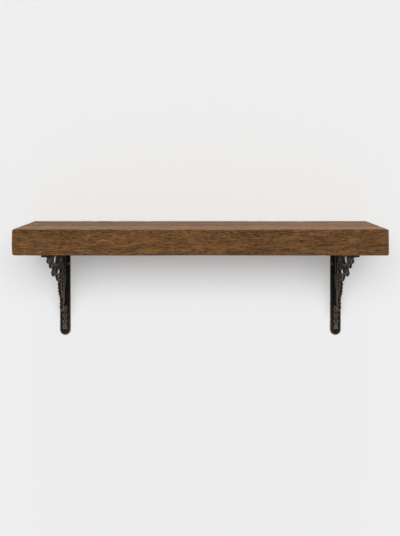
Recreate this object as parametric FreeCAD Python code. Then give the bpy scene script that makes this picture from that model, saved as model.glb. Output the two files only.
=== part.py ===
import FreeCAD, Part
import math
import os

# A wall shelf: one thick timber board on two pierced cast-iron brackets.
# The wall is the plane Y = 0 and the shelf stands out of it towards -Y. X runs along the board and Z is up.
# The origin is the middle of the board's back face. All sizes are in millimetres.

V = FreeCAD.Vector

# Board
BOARD_LENGTH = 914.4
BOARD_DEPTH = 203.2
BOARD_THICK = 63.5
BOARD_EASED = 2.0

# Bracket: its place under the board, then its arm and its leg
BRACKET_FROM_END = 86.6
ARM_SETBACK = 4.2
ARM_WIDTH = 34.0
ARM_THICK = 5.5
LEG_LENGTH = 248.0
LEG_WIDTH = 28.6
LEG_THICK = 5.0
PLATE_BEVEL = 1.6

# Raised strip down the lower part of the leg, which the foot screw sits on
STRIP_WIDTH = 15.0
STRIP_RISE = 3.0
STRIP_FROM_END = 15.0

# Pierced web: its thin sheet, how far that runs into the arm and leg, and the raised ribs
SHEET_THICK = 3.0
SHEET_INSET = 1.0
RIB_THICK = 8.0
STEM_WIDTH = 9.5
FORK_WIDTH = 9.0
FOOT_WIDTH = 7.8
TIE_WIDTH = 8.0
VEIN_WIDTH = 7.0
SPINE_WIDTH = 7.8
FRONT_WIDTH = 7.2
TENDRIL_WIDTH = 4.0
JOIN_WIDTH = 6.4
TIP_WIDTH = 6.0

# Round features of the web: out from the wall, down from the board, and their radii
VOLUTE_OUT = 80.0
VOLUTE_DOWN = 54.0
VOLUTE_R = 32.0
VOLUTE_RING = 8.0
SCROLL_OUT = 140.0
SCROLL_DOWN = 50.0
SCROLL_R = 12.5
KNOT_OUT = 168.0
KNOT_DOWN = 27.0
KNOT_R = 10.5
NOSE_FROM_END = 9.0
NOSE_DOWN = 12.5
NOSE_R = 10.0

# Lines of the web: the stem, its foot, the fork and the start of the vein on it, and where other ribs end
STEM_OUT = 47.0
FOOT_DOWN = 168.0
FORK_DOWN = 134.0
FORK_STEP = 1.0
VEIN_DOWN = 125.0
VEIN_TOP_OUT = 23.0
TIE_END = (7.0, 84.0)
BRANCH_END = (140.0, 58.2)
SPINE_END = (158.0, 24.0)
FRONT_START = (156.0, 25.1)

# The point that each rib bends through, out from the wall and down from the board
STEM_BEND = (45.5, 110.0)
FOOT_BEND = (25.0, 169.0)
TIE_BEND = (25.0, 114.0)
VEIN_BEND = (29.0, 80.0)
FORK_BEND = (65.5, 113.0)
TENDRIL_BEND = (80.0, 70.0)
SPINE_BEND = (130.0, 35.0)
BRANCH_BEND = (124.0, 58.8)
FRONT_BEND = (172.0, 16.1)

# Where ribs meet the volute, in degrees round it: 0 is its front and 90 its top
STEM_JOIN = 180.0
FORK_JOIN = 250.0
SPINE_JOIN = 40.0
BRANCH_JOIN = -8.0
TENDRIL_BACK_JOIN = 200.0
TENDRIL_FRONT_JOIN = -20.0

# Leaf-shaped bud that hangs from the top of the volute's ring
BUD_LENGTH = 31.0
BUD_HALF_WIDTH = 10.0

# Leaf openings in the sheet: one tip, the other tip and half the width
OPENINGS = {
    "corner": ((13.0, 58.0), (13.0, 16.0), 4.0),
    "wall": ((21.0, 102.0), (17.0, 62.0), 3.5),
    "vein": ((35.0, 104.0), (36.0, 44.0), 5.0),
    "shoulder": ((30.0, 13.0), (52.0, 24.0), 4.5),
    "volute_top": ((60.0, 13.0), (98.0, 15.0), 4.0),
    "under_arm": ((112.0, 12.0), (138.0, 29.0), 11.0),
    "branch": ((110.0, 49.0), (131.0, 44.0), 4.5),
    "fork": ((55.0, 118.0), (62.0, 88.0), 4.5),
    "stem": ((39.0, 158.0), (39.0, 134.0), 3.0),
    "foot": ((20.0, 158.0), (22.0, 124.0), 5.5),
}

# Screws, all of one gauge with a round head
SCREW_R = 2.1
SCREW_HEAD_R = 4.2
SCREW_HEAD_RISE = 2.8
WALL_SCREW_LENGTH = 45.0
SHELF_SCREW_LENGTH = 32.0
CAST_HOLE_CLEARANCE = 1.2
PILOT_CLEARANCE = 0.1
PILOT_SPARE = 1.0

# Screw places on a bracket: flat metal left beside a head, down the leg, up from its end, out along the arm
HEAD_MARGIN = 0.3
WALL_SCREW_DOWN = 52.0
FOOT_SCREW_FROM_END = 24.0
SHELF_SCREW_OUT = 118.0

# Edges closer to a plane than this count as lying in it
IN_PLANE = 0.01

# Sizes that follow from the ones above
BOARD_UNDERSIDE = -BOARD_THICK / 2
BRACKET_FROM_MIDDLE = BOARD_LENGTH / 2 - BRACKET_FROM_END
BRACKET_PLACES = {"left": -BRACKET_FROM_MIDDLE, "right": BRACKET_FROM_MIDDLE}
ARM_LENGTH = BOARD_DEPTH - ARM_SETBACK
NOSE_OUT = ARM_LENGTH - NOSE_FROM_END
STRIP_END = LEG_LENGTH - STRIP_FROM_END
FOOT_SEAT = LEG_THICK + STRIP_RISE
VOLUTE_MIDDLE_R = VOLUTE_R - VOLUTE_RING / 2
WALL_SCREW_ASIDE = LEG_WIDTH / 2 - PLATE_BEVEL - SCREW_HEAD_R - HEAD_MARGIN
SHELF_SCREW_ASIDE = ARM_WIDTH / 2 - PLATE_BEVEL - SCREW_HEAD_R - HEAD_MARGIN

# Screws of one bracket: sideways from its middle, down or out, and how far out from the wall the head sits
WALL_SCREWS = {
    "upper_left": {"aside": -WALL_SCREW_ASIDE, "down": WALL_SCREW_DOWN, "seat": LEG_THICK},
    "upper_right": {"aside": WALL_SCREW_ASIDE, "down": WALL_SCREW_DOWN, "seat": LEG_THICK},
    "foot": {"aside": 0.0, "down": LEG_LENGTH - FOOT_SCREW_FROM_END, "seat": FOOT_SEAT},
}
SHELF_SCREWS = {
    "left": {"aside": -SHELF_SCREW_ASIDE, "out": SHELF_SCREW_OUT},
    "right": {"aside": SHELF_SCREW_ASIDE, "out": SHELF_SCREW_OUT},
}


# A bracket is drawn with its middle at X = 0 and its top at Z = 0, then moved under the board.
def side(out, down):
    """A point on the bracket's middle plane, out from the wall and down from the board."""
    return V(0, -out, -down)


def on_volute(degrees):
    """A point on the middle line of the volute's ring."""
    turn = math.radians(degrees)
    out = VOLUTE_OUT + VOLUTE_MIDDLE_R * math.cos(turn)
    down = VOLUTE_DOWN - VOLUTE_MIDDLE_R * math.sin(turn)
    return side(out, down)


def slab(edges, thick):
    """A flat piece of the web, centred on the bracket's middle plane."""
    face = Part.Face(Part.Wire(Part.__sortEdges__(edges)))
    face.translate(V(-thick / 2, 0, 0))
    return face.extrude(V(thick, 0, 0))


def disc(centre, radius, thick):
    """A round piece of the web, centred on the bracket's middle plane."""
    return Part.makeCylinder(radius, thick, centre - V(thick / 2, 0, 0), V(1, 0, 0))


def leaf(tip, far_tip, half_width, thick):
    """A leaf shape: two arcs between two points."""
    middle = (tip + far_tip) * 0.5
    aside = (far_tip - tip).cross(V(1, 0, 0)).normalize() * half_width
    edges = [
        Part.Arc(tip, middle + aside, far_tip).toShape(),
        Part.Arc(far_tip, middle - aside, tip).toShape(),
    ]
    return slab(edges, thick)


def rib(start, middle, end, width, end_width):
    """A raised bar on an arc through three points, tapering from one width to the other, with round ends."""
    circle = Part.Circle(start, middle, end)
    outer = []
    inner = []
    for point, across in ((start, width), (middle, (width + end_width) / 2), (end, end_width)):
        ray = (point - circle.Center).normalize()
        outer.append(point + ray * (across / 2))
        inner.append(point - ray * (across / 2))
    start_cap = start + away(outer[0] - inner[0], start - middle) * (width / 2)
    end_cap = end + away(outer[2] - inner[2], end - middle) * (end_width / 2)
    edges = [
        Part.Arc(outer[0], outer[1], outer[2]).toShape(),
        Part.Arc(outer[2], end_cap, inner[2]).toShape(),
        Part.Arc(inner[2], inner[1], inner[0]).toShape(),
        Part.Arc(inner[0], start_cap, outer[0]).toShape(),
    ]
    return slab(edges, RIB_THICK)


def away(across, outward):
    """The direction square to a rib's end, on the side that points out of the rib."""
    along = across.cross(V(1, 0, 0)).normalize()
    return along if along.dot(outward) > 0 else along * -1


def make_arm():
    """The flat arm under the board, with a bevel around its underside."""
    arm = Part.makeBox(ARM_WIDTH, ARM_LENGTH, ARM_THICK, V(-ARM_WIDTH / 2, -ARM_LENGTH, -ARM_THICK))
    under = []
    for edge in arm.Edges:
        box = edge.BoundBox
        if box.ZMax < -ARM_THICK + IN_PLANE and box.YMin < -IN_PLANE:
            under.append(edge)
    return arm.makeChamfer(PLATE_BEVEL, under)


def make_leg():
    """The flat leg on the wall, with a round lower end, a bevelled rim and a raised strip."""
    half = LEG_WIDTH / 2
    round_down = LEG_LENGTH - half
    edges = [
        Part.makeLine(V(-half, 0, 0), V(half, 0, 0)),
        Part.makeLine(V(half, 0, 0), V(half, 0, -round_down)),
        Part.Arc(V(half, 0, -round_down), V(0, 0, -LEG_LENGTH), V(-half, 0, -round_down)).toShape(),
        Part.makeLine(V(-half, 0, -round_down), V(-half, 0, 0)),
    ]
    leg = Part.Face(Part.Wire(edges)).extrude(V(0, -LEG_THICK, 0))
    rim = []
    for edge in leg.Edges:
        box = edge.BoundBox
        if box.YMax < -LEG_THICK + IN_PLANE and box.ZMin < -IN_PLANE:
            rim.append(edge)
    return leg.makeChamfer(PLATE_BEVEL, rim).fuse(make_strip())


def make_strip():
    """The raised strip that carries the stem on down the leg, with sloping sides and a flat top."""
    foot = []
    top = []
    for aside, down, slope in (
        (-1, FOOT_DOWN, 0),
        (1, FOOT_DOWN, 0),
        (1, STRIP_END, STRIP_RISE),
        (-1, STRIP_END, STRIP_RISE),
    ):
        foot.append(V(aside * STRIP_WIDTH / 2, -LEG_THICK, -down))
        top.append(V(aside * (STRIP_WIDTH / 2 - STRIP_RISE), -FOOT_SEAT, slope - down))
    return Part.makeLoft([Part.makePolygon(foot + foot[:1]), Part.makePolygon(top + top[:1])], True, True)


def make_sheet():
    """The thin sheet between the ribs: its edges lie inside them and leaf openings pierce it."""
    volute = side(VOLUTE_OUT, VOLUTE_DOWN)
    outline = [
        side(SHEET_INSET, SHEET_INSET),
        side(NOSE_OUT, SHEET_INSET),
        side(NOSE_OUT, NOSE_DOWN),
        side(KNOT_OUT, KNOT_DOWN),
        side(*SPINE_END),
        side(SCROLL_OUT, SCROLL_DOWN),
        side(*BRANCH_END),
        volute,
        side(*FORK_BEND),
        side(STEM_OUT, FORK_DOWN),
        side(STEM_OUT, FOOT_DOWN),
        side(SHEET_INSET, FOOT_DOWN),
    ]
    sheet = slab(Part.makePolygon(outline + outline[:1]).Edges, SHEET_THICK)
    openings = [disc(volute, VOLUTE_MIDDLE_R, SHEET_THICK)]
    for tip, far_tip, half_width in OPENINGS.values():
        openings.append(leaf(side(*tip), side(*far_tip), half_width, SHEET_THICK))
    return sheet.cut(openings)


def make_stem():
    """The ribs that rise from the foot: the foot's bar, the stem, the tie to the leg, the vein and the fork."""
    foot = side(STEM_OUT, FOOT_DOWN)
    foot_end = side(LEG_THICK, FOOT_DOWN)
    tie_start = side(STEM_OUT - FORK_STEP, FORK_DOWN)
    vein_start = side(STEM_OUT - FORK_STEP, VEIN_DOWN)
    vein_end = side(VEIN_TOP_OUT, ARM_THICK)
    fork_start = side(STEM_OUT + FORK_STEP, FORK_DOWN + FORK_STEP)
    return [
        rib(foot, side(*FOOT_BEND), foot_end, FOOT_WIDTH, TIP_WIDTH),
        rib(foot, side(*STEM_BEND), on_volute(STEM_JOIN), STEM_WIDTH, JOIN_WIDTH),
        rib(tie_start, side(*TIE_BEND), side(*TIE_END), TIE_WIDTH, TIP_WIDTH),
        rib(vein_start, side(*VEIN_BEND), vein_end, VEIN_WIDTH, TIP_WIDTH),
        rib(fork_start, side(*FORK_BEND), on_volute(FORK_JOIN), FORK_WIDTH, JOIN_WIDTH),
    ]


def make_volute():
    """The large ring under the arm, with the tendril across it and the bud hanging in it."""
    centre = side(VOLUTE_OUT, VOLUTE_DOWN)
    eye = disc(centre, VOLUTE_R - VOLUTE_RING, RIB_THICK)
    tendril = rib(
        on_volute(TENDRIL_BACK_JOIN),
        side(*TENDRIL_BEND),
        on_volute(TENDRIL_FRONT_JOIN),
        TENDRIL_WIDTH,
        TENDRIL_WIDTH,
    )
    bud_root = centre + V(0, 0, VOLUTE_MIDDLE_R)
    bud = leaf(bud_root, bud_root - V(0, 0, BUD_LENGTH), BUD_HALF_WIDTH, RIB_THICK)
    return [disc(centre, VOLUTE_R, RIB_THICK).cut(eye), tendril, bud]


def make_spine():
    """The ribs in front of the volute: the spine up to the arm's end, the branch and the three hanging scrolls."""
    front_end = side(NOSE_OUT, NOSE_DOWN - JOIN_WIDTH)
    return [
        rib(on_volute(SPINE_JOIN), side(*SPINE_BEND), side(*SPINE_END), JOIN_WIDTH, SPINE_WIDTH),
        rib(side(*FRONT_START), side(*FRONT_BEND), front_end, FRONT_WIDTH, TIP_WIDTH),
        rib(on_volute(BRANCH_JOIN), side(*BRANCH_BEND), side(*BRANCH_END), JOIN_WIDTH, VEIN_WIDTH),
        disc(side(SCROLL_OUT, SCROLL_DOWN), SCROLL_R, RIB_THICK),
        disc(side(KNOT_OUT, KNOT_DOWN), KNOT_R, RIB_THICK),
        disc(side(NOSE_OUT, NOSE_DOWN), NOSE_R, RIB_THICK),
    ]


def make_bracket():
    """One casting, with its screw holes."""
    casting = make_leg().fuse([make_arm(), make_sheet()] + make_stem() + make_volute() + make_spine())
    hole_r = SCREW_R + CAST_HOLE_CLEARANCE
    holes = []
    for place in WALL_SCREWS.values():
        mouth = V(place["aside"], 0, -place["down"])
        holes.append(Part.makeCylinder(hole_r, place["seat"], mouth, V(0, -1, 0)))
    for place in SHELF_SCREWS.values():
        mouth = V(place["aside"], -place["out"], 0)
        holes.append(Part.makeCylinder(hole_r, ARM_THICK, mouth, V(0, 0, -1)))
    return casting.cut(holes).removeSplitter()


def make_screw(length):
    """A round-head wood screw along +Z, with the underside of its head at the origin."""
    profile = [
        V(0, 0, -SCREW_HEAD_RISE),
        V(SCREW_HEAD_R, 0, -SCREW_HEAD_RISE),
        V(SCREW_HEAD_R, 0, 0),
        V(SCREW_R, 0, 0),
        V(SCREW_R, 0, length),
        V(0, 0, length),
    ]
    section = Part.Face(Part.makePolygon(profile + profile[:1]))
    return section.revolve(V(0, 0, 0), V(0, 0, 1), 360)


def make_board():
    """The plank, with eased edges all round and a pilot hole for every shelf screw."""
    corner = V(-BOARD_LENGTH / 2, -BOARD_DEPTH, BOARD_UNDERSIDE)
    board = Part.makeBox(BOARD_LENGTH, BOARD_DEPTH, BOARD_THICK, corner)
    board = board.makeChamfer(BOARD_EASED, board.Edges)
    depth = SHELF_SCREW_LENGTH - ARM_THICK + PILOT_SPARE
    pilots = []
    for middle in BRACKET_PLACES.values():
        for place in SHELF_SCREWS.values():
            mouth = V(middle + place["aside"], -place["out"], BOARD_UNDERSIDE)
            pilots.append(Part.makeCylinder(SCREW_R + PILOT_CLEARANCE, depth, mouth, V(0, 0, 1)))
    return board.cut(pilots)


# Every piece in its place on the wall
parts = {"shelf_board": make_board()}
bracket = make_bracket()
wall_screw = make_screw(WALL_SCREW_LENGTH)
wall_screw.rotate(V(0, 0, 0), V(1, 0, 0), -90)
shelf_screw = make_screw(SHELF_SCREW_LENGTH)
for hand, middle in BRACKET_PLACES.items():
    parts[f"{hand}_bracket"] = bracket.translated(V(middle, 0, BOARD_UNDERSIDE))
    for name, place in WALL_SCREWS.items():
        seat = V(middle + place["aside"], -place["seat"], BOARD_UNDERSIDE - place["down"])
        parts[f"{hand}_wall_screw_{name}"] = wall_screw.translated(seat)
    for name, place in SHELF_SCREWS.items():
        seat = V(middle + place["aside"], -place["out"], BOARD_UNDERSIDE - ARM_THICK)
        parts[f"{hand}_shelf_screw_{name}"] = shelf_screw.translated(seat)

os.makedirs("parts", exist_ok=True)
for node, shape in parts.items():
    shape.exportStep(f"parts/{node}.step")
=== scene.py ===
import math

import bmesh
import bpy
import numpy as np
from mathutils import Matrix, Vector, noise
from mathutils.kdtree import KDTree


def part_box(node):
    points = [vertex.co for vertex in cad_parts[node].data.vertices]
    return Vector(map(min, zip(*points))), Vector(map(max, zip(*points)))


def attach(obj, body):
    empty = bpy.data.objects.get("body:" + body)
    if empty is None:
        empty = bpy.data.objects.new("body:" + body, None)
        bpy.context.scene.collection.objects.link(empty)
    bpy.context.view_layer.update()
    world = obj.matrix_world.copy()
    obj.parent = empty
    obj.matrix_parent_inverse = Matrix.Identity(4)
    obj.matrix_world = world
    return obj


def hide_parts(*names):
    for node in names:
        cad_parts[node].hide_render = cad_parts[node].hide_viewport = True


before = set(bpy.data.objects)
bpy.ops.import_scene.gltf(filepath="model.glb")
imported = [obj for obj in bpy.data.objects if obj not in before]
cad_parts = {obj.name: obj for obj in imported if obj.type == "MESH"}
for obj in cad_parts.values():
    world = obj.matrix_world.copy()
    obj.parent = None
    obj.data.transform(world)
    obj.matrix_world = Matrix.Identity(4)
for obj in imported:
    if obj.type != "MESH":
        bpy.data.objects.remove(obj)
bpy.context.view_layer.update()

# Brackets: two iron castings from one pattern, each an arm under the board, a leg on the wall and a
# pierced web of scrolls between them. Poured in sand, so edges are soft and faces slightly rough, then
# oiled black-brown, with bare brown iron rubbed through on the high edges. The ribs' crests and the leg's
# raised strip are painted paler, partly as wear and partly as painted light, and the leg is painted paler
# towards its foot as painted light, below the shelf's shade.
MM = 0.001
MERGE_DISTANCE = 1e-6
BOARD_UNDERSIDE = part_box("shelf_board")[0][2]
LEG_FRONT = 6.0 * MM
ARM_UNDER = 6.5 * MM
WEB_HALF = 4.0 * MM
WEB_END = 172.5 * MM
SHEET_SHARE = 0.4

# Ribs of the web, in millimetres out from the wall and down from the board: each arc's start, middle and
# end, and its width
RIBS = {
    "foot": ((47, 168), (25, 169), (5, 168), 7.8),
    "stem": ((47, 168), (45.5, 110), (52, 54), 9.5),
    "tie": ((46, 134), (25, 114), (7, 84), 8.0),
    "vein": ((46, 125), (29, 80), (23, 5.5), 7.0),
    "fork": ((48, 135), (65.5, 113), (70.4, 80.3), 9.0),
    "tendril": ((53.7, 63.6), (80, 70), (106.3, 63.6), 4.0),
    "bud": ((80, 26), (80.2, 41), (80, 56), 13.0),
    "spine": ((101.4, 36), (130, 35), (158, 24), 7.8),
    "front": ((156, 25.1), (172, 16.1), (190, 6.1), 7.2),
    "branch": ((107.7, 57.9), (124, 58.8), (140, 58.2), 8.0),
}
VOLUTE_CENTRE = (80, 54)
VOLUTE_R = 28.0
VOLUTE_WIDTH = 8.0
RIB_FALL = 0.5

# Curls wound into the hanging scrolls: centre and radius
SCROLLS = {
    "scroll": ((140, 50), 9.8),
    "knot": ((168, 27), 8.0),
    "nose": ((190, 12.5), 7.6),
}
CURL_TURNS = 1.6
CURL_WIDTH = 5.4
CURL_EYE = 1.5

# Carved leaves, in millimetres: half sizes across, out and along, and how far each leans
LEAF_SEGMENTS = 20
LEAF_RINGS = 12
STRIP_TOP = 8.0
STRIP_LEAVES_FROM = 179
STRIP_LEAVES_TO = 213
STRIP_LEAF_COUNT = 3
STRIP_LEAF_SPREAD = 5.2
STRIP_LEAF_SIZE = (2.4, 2.4, 8.0)
STRIP_LEAF_TILT = 0.42
STRIP_STEM_SIZE = (1.3, 1.9, 21.0)
BUD_LEAF = (73.5, 45.0)
BUD_LEAF_STEP = 13.0
BUD_LEAF_SIZE = (2.8, 4.2, 12.0)
BUD_LEAF_TILT = 0.3
STEM_LEAF_SIZE = (1.5, 1.7, 5.2)
STEM_LEAF_SPREAD = 1.7
STEM_LEAF_TILT = 0.38
LEAFY_STEMS = (
    ((47, 162), (45.5, 110), (52, 62), 11),
    ((51, 132), (65.5, 113), (70.4, 85), 6),
    ((43, 118), (29, 80), (23, 14), 11),
)

# The cast skin, and how far its high places are rubbed bare. The ribs' crests and the raised strip are
# painted paler, partly as wear and partly as painted light, and the leg paler towards its foot as painted
# light
VOXEL = 0.9 * MM
CAST_ROUNDS = 5
CAST_PULLS = (0.5, -0.46)
SAND_COARSE = (11 * MM, 0.2 * MM)
SAND_FINE = (2.4 * MM, 0.16 * MM)
WEAR_SPAN = 0.6 * MM
WEAR_ROUNDS = 4
CREST_WEAR_AND_LIGHT = 0.62
STRIP_WEAR_AND_LIGHT = 0.13
STRIP_HALF = 6.5 * MM
STRIP_START = 165 * MM
STRIP_END = 235 * MM
# Painted light: the leg grows paler towards its foot, below the shelf's shade
FOOT_PAINTED_LIGHT = 0.15
FOOT_LIGHT_POWER = 4
IRON_DARK = (0.0080, 0.0059, 0.0044, 1)
IRON_BARE_AND_LIT = (0.228, 0.176, 0.137, 1)
IRON_GRAIN = 420.0

# The worn metal's noise, and what its low and high places do
METAL_SHINE = 0.09
METAL_BUMP = 0.35
METAL_BUMP_DEPTH = 0.6 * MM
GRAIN_DETAIL = 6.0
GRAIN_ROUGHNESS = 0.65
STAIN_SCALE = 38.0
STAIN_DETAIL = 4.0
STAIN_ROUGHNESS = 0.6
NOISE_LOW = 0.3
NOISE_HIGH = 0.7
STAIN_SHADES = (0.72, 1.35)
PATCHY_WEAR = 0.26
WEAR_SHOWS = 0.2
METAL_ROUGHNESS = (0.42, 0.62)


def node_link(tree, kind, inputs=None, **settings):
    """Adds a node to a tree, sets its properties and fills its inputs with values or sockets."""
    node = tree.nodes.new(kind)
    for name, value in settings.items():
        setattr(node, name, value)
    for key, value in (inputs or {}).items():
        if isinstance(value, bpy.types.NodeSocket):
            tree.links.new(value, node.inputs[key])
        else:
            node.inputs[key].default_value = value
    return node


def maths(tree, operation, *values):
    """The result of a maths node."""
    return node_link(tree, "ShaderNodeMath", dict(enumerate(values)), operation=operation).outputs[0]


def vector_of(tree, **parts):
    """A vector put together from its X, Y and Z."""
    return node_link(tree, "ShaderNodeCombineXYZ", parts).outputs[0]


def ranged(tree, value, low, high, to_low=0.0, to_high=1.0):
    """A value taken from one range to another, and kept inside it."""
    return node_link(tree, "ShaderNodeMapRange", {
        "Value": value, "From Min": low, "From Max": high,
        "To Min": to_low, "To Max": to_high}).outputs[0]


def shaded(tree, color, factor):
    """A colour made lighter or darker by a factor."""
    inputs = {0: color, "Scale": factor}
    return node_link(tree, "ShaderNodeVectorMath", inputs, operation="SCALE").outputs[0]


def mixed(tree, factor, first, second, blend="MIX"):
    """Two colours mixed by a factor. Sockets 6, 7 and 2 are the mix node's colours and its result."""
    inputs = {"Factor": factor, 6: first, 7: second}
    return node_link(tree, "ShaderNodeMix", inputs, data_type="RGBA", blend_type=blend).outputs[2]


def moved(tree, shape, move=(0, 0, 0), turn=(0, 0, 0), size=(1, 1, 1)):
    """A shape moved, turned and scaled."""
    return node_link(tree, "GeometryNodeTransform", {
        "Geometry": shape, "Translation": move, "Rotation": turn, "Scale": size}).outputs[0]


def shape_tree(name, sizes):
    """A new geometry-nodes tree with a material input and a named input for each size."""
    tree = bpy.data.node_groups.new(name, "GeometryNodeTree")
    tree.interface.new_socket("Geometry", in_out="OUTPUT", socket_type="NodeSocketGeometry")
    tree.interface.new_socket("Geometry", in_out="INPUT", socket_type="NodeSocketGeometry")
    tree.interface.new_socket("Material", in_out="INPUT", socket_type="NodeSocketMaterial")
    for label, value in sizes.items():
        kind = "NodeSocketVector" if isinstance(value, tuple) else "NodeSocketFloat"
        tree.interface.new_socket(label, in_out="INPUT", socket_type=kind).default_value = value
    return tree, tree.nodes.new("NodeGroupInput").outputs


def end_tree(tree, shape, material):
    """Ends a geometry-nodes tree with its instances made real and its material set."""
    solid = node_link(tree, "GeometryNodeRealizeInstances", {"Geometry": shape})
    painted = node_link(tree, "GeometryNodeSetMaterial", {
        "Geometry": solid.outputs[0], "Material": material})
    node_link(tree, "NodeGroupOutput", {"Geometry": painted.outputs[0]})


def set_input(modifier, name, value):
    """Sets a geometry-nodes input by its socket's identifier."""
    for item in modifier.node_group.interface.items_tree:
        if item.item_type == "SOCKET" and item.in_out == "INPUT" and item.name == name:
            modifier[item.identifier] = value


def leaf_rows(tree, given):
    """Rows of leaves and what each has: points, leaves to a side, leaf size, lean's axis and lean."""
    strip_middle = Vector((0, -STRIP_TOP, -(STRIP_LEAVES_FROM + STRIP_LEAVES_TO) / 2)) * MM
    sheet = node_link(tree, "GeometryNodeMeshGrid", {
        "Size X": STRIP_LEAF_SPREAD * MM, "Size Y": (STRIP_LEAVES_TO - STRIP_LEAVES_FROM) * MM,
        "Vertices X": 2, "Vertices Y": STRIP_LEAF_COUNT})
    upright = moved(tree, sheet.outputs["Mesh"], strip_middle, (math.pi / 2, 0, 0))
    stem = node_link(tree, "GeometryNodeMeshLine", {"Count": 1, "Start Location": strip_middle})
    pair = node_link(tree, "GeometryNodeMeshLine", {
        "Count": 2, "Start Location": Vector((0, -BUD_LEAF[0], -BUD_LEAF[1])) * MM,
        "Offset": Vector((0, -BUD_LEAF_STEP, 0)) * MM}, mode="OFFSET")
    return (
        (upright, STRIP_LEAF_COUNT, given["Strip Leaf Size"], "Y", given["Strip Leaf Tilt"]),
        (stem.outputs[0], 1, given["Strip Stem Size"], "Y", 0.0),
        (pair.outputs[0], 1, given["Bud Leaf Size"], "X", given["Bud Leaf Tilt"]),
    )


def leaf_pair(tree, leaf, size, tilt):
    """Two leaves that grow up and apart from a stem."""
    both = node_link(tree, "GeometryNodeJoinGeometry")
    for side in (-1, 1):
        turn = vector_of(tree, X=maths(tree, "MULTIPLY", tilt, -side))
        aside = (0, side * STEM_LEAF_SPREAD * MM, 0)
        tree.links.new(moved(tree, leaf, aside, turn, size), both.inputs[0])
    return both.outputs[0]


def leaf_tree():
    """Geometry nodes for the carved leaves on the leg's strip, beside the bud and along the stems."""
    tree, given = shape_tree("carved_leaves", {
        "Place": (0.0, 0.0, 0.0),
        "Strip Leaf Size": STRIP_LEAF_SIZE, "Strip Leaf Tilt": STRIP_LEAF_TILT,
        "Strip Stem Size": STRIP_STEM_SIZE,
        "Bud Leaf Size": BUD_LEAF_SIZE, "Bud Leaf Tilt": BUD_LEAF_TILT,
        "Stem Leaf Size": STEM_LEAF_SIZE, "Stem Leaf Tilt": STEM_LEAF_TILT})
    leaf = node_link(tree, "GeometryNodeMeshUVSphere", {
        "Segments": LEAF_SEGMENTS, "Rings": LEAF_RINGS, "Radius": MM}).outputs[0]
    index = node_link(tree, "GeometryNodeInputIndex").outputs[0]
    whole = node_link(tree, "GeometryNodeJoinGeometry", {"Geometry": given["Geometry"]})
    for points, per_side, size, axis, tilt in leaf_rows(tree, given):
        far_side = maths(tree, "GREATER_THAN", index, per_side - 0.5)
        lean = maths(tree, "MULTIPLY", maths(tree, "MULTIPLY_ADD", far_side, 2.0, -1.0), tilt)
        turn = vector_of(tree, **{axis: lean})
        row = node_link(tree, "GeometryNodeInstanceOnPoints", {
            "Points": points, "Instance": leaf, "Rotation": turn, "Scale": size})
        tree.links.new(moved(tree, row.outputs[0], given["Place"]), whole.inputs[0])
    pair = leaf_pair(tree, leaf, given["Stem Leaf Size"], given["Stem Leaf Tilt"])
    for *places, count in LEAFY_STEMS:
        for aside in (-WEB_HALF, WEB_HALF):
            ends = {name: (aside, -out * MM, -down * MM)
                    for name, (out, down) in zip(("Start", "Middle", "End"), places)}
            arc = node_link(tree, "GeometryNodeCurveArc", ends, mode="POINTS")
            steps = node_link(tree, "GeometryNodeCurveToPoints", {
                "Curve": arc.outputs[0], "Count": count})
            turn = node_link(tree, "FunctionNodeAlignRotationToVector", {
                "Vector": steps.outputs["Tangent"]}, axis="Z", pivot_axis="X")
            row = node_link(tree, "GeometryNodeInstanceOnPoints", {
                "Points": steps.outputs[0], "Instance": pair, "Rotation": turn.outputs[0]})
            tree.links.new(moved(tree, row.outputs[0], given["Place"]), whole.inputs[0])
    end_tree(tree, whole.outputs[0], given["Material"])
    return tree


def new_piece(name, mesh):
    """A scene object for a mesh."""
    piece = bpy.data.objects.new(name, mesh)
    bpy.context.scene.collection.objects.link(piece)
    return piece


def merge_doubles(mesh):
    """Joins the points that lie on one another."""
    shell = bmesh.new()
    shell.from_mesh(mesh)
    bmesh.ops.remove_doubles(shell, verts=shell.verts, dist=MERGE_DISTANCE)
    shell.to_mesh(mesh)
    shell.free()


def settled_mesh(piece):
    """The piece's mesh with its modifiers done, as a plain mesh."""
    bpy.context.view_layer.update()
    graph = bpy.context.evaluated_depsgraph_get()
    mesh = bpy.data.meshes.new_from_object(piece.evaluated_get(graph))
    piece.modifiers.clear()
    return mesh


def pour_as_one(piece):
    """Fuses all that the piece is made of into one skin."""
    fusing = piece.modifiers.new("poured as one", "REMESH")
    fusing.mode = "VOXEL"
    fusing.voxel_size = VOXEL
    piece.data = settled_mesh(piece)


def mesh_arrays(mesh):
    """A mesh's points and edges as arrays."""
    points = np.empty(len(mesh.vertices) * 3)
    mesh.vertices.foreach_get("co", points)
    edges = np.empty(len(mesh.edges) * 2, dtype=np.int64)
    mesh.edges.foreach_get("vertices", edges)
    return points.reshape(-1, 3), edges.reshape(-1, 2)


def mesh_normals(mesh):
    """The directions a mesh's points face."""
    normals = np.empty(len(mesh.vertices) * 3)
    mesh.vertices.foreach_get("normal", normals)
    return normals.reshape(-1, 3)


def move_points(mesh, points):
    """Puts a mesh's points in new places."""
    mesh.vertices.foreach_set("co", points.ravel())
    mesh.update()


def on_circle(angles):
    """Points of a circle of radius 1 at the given angles."""
    return np.stack([np.cos(angles), np.sin(angles)], axis=1)


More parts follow.
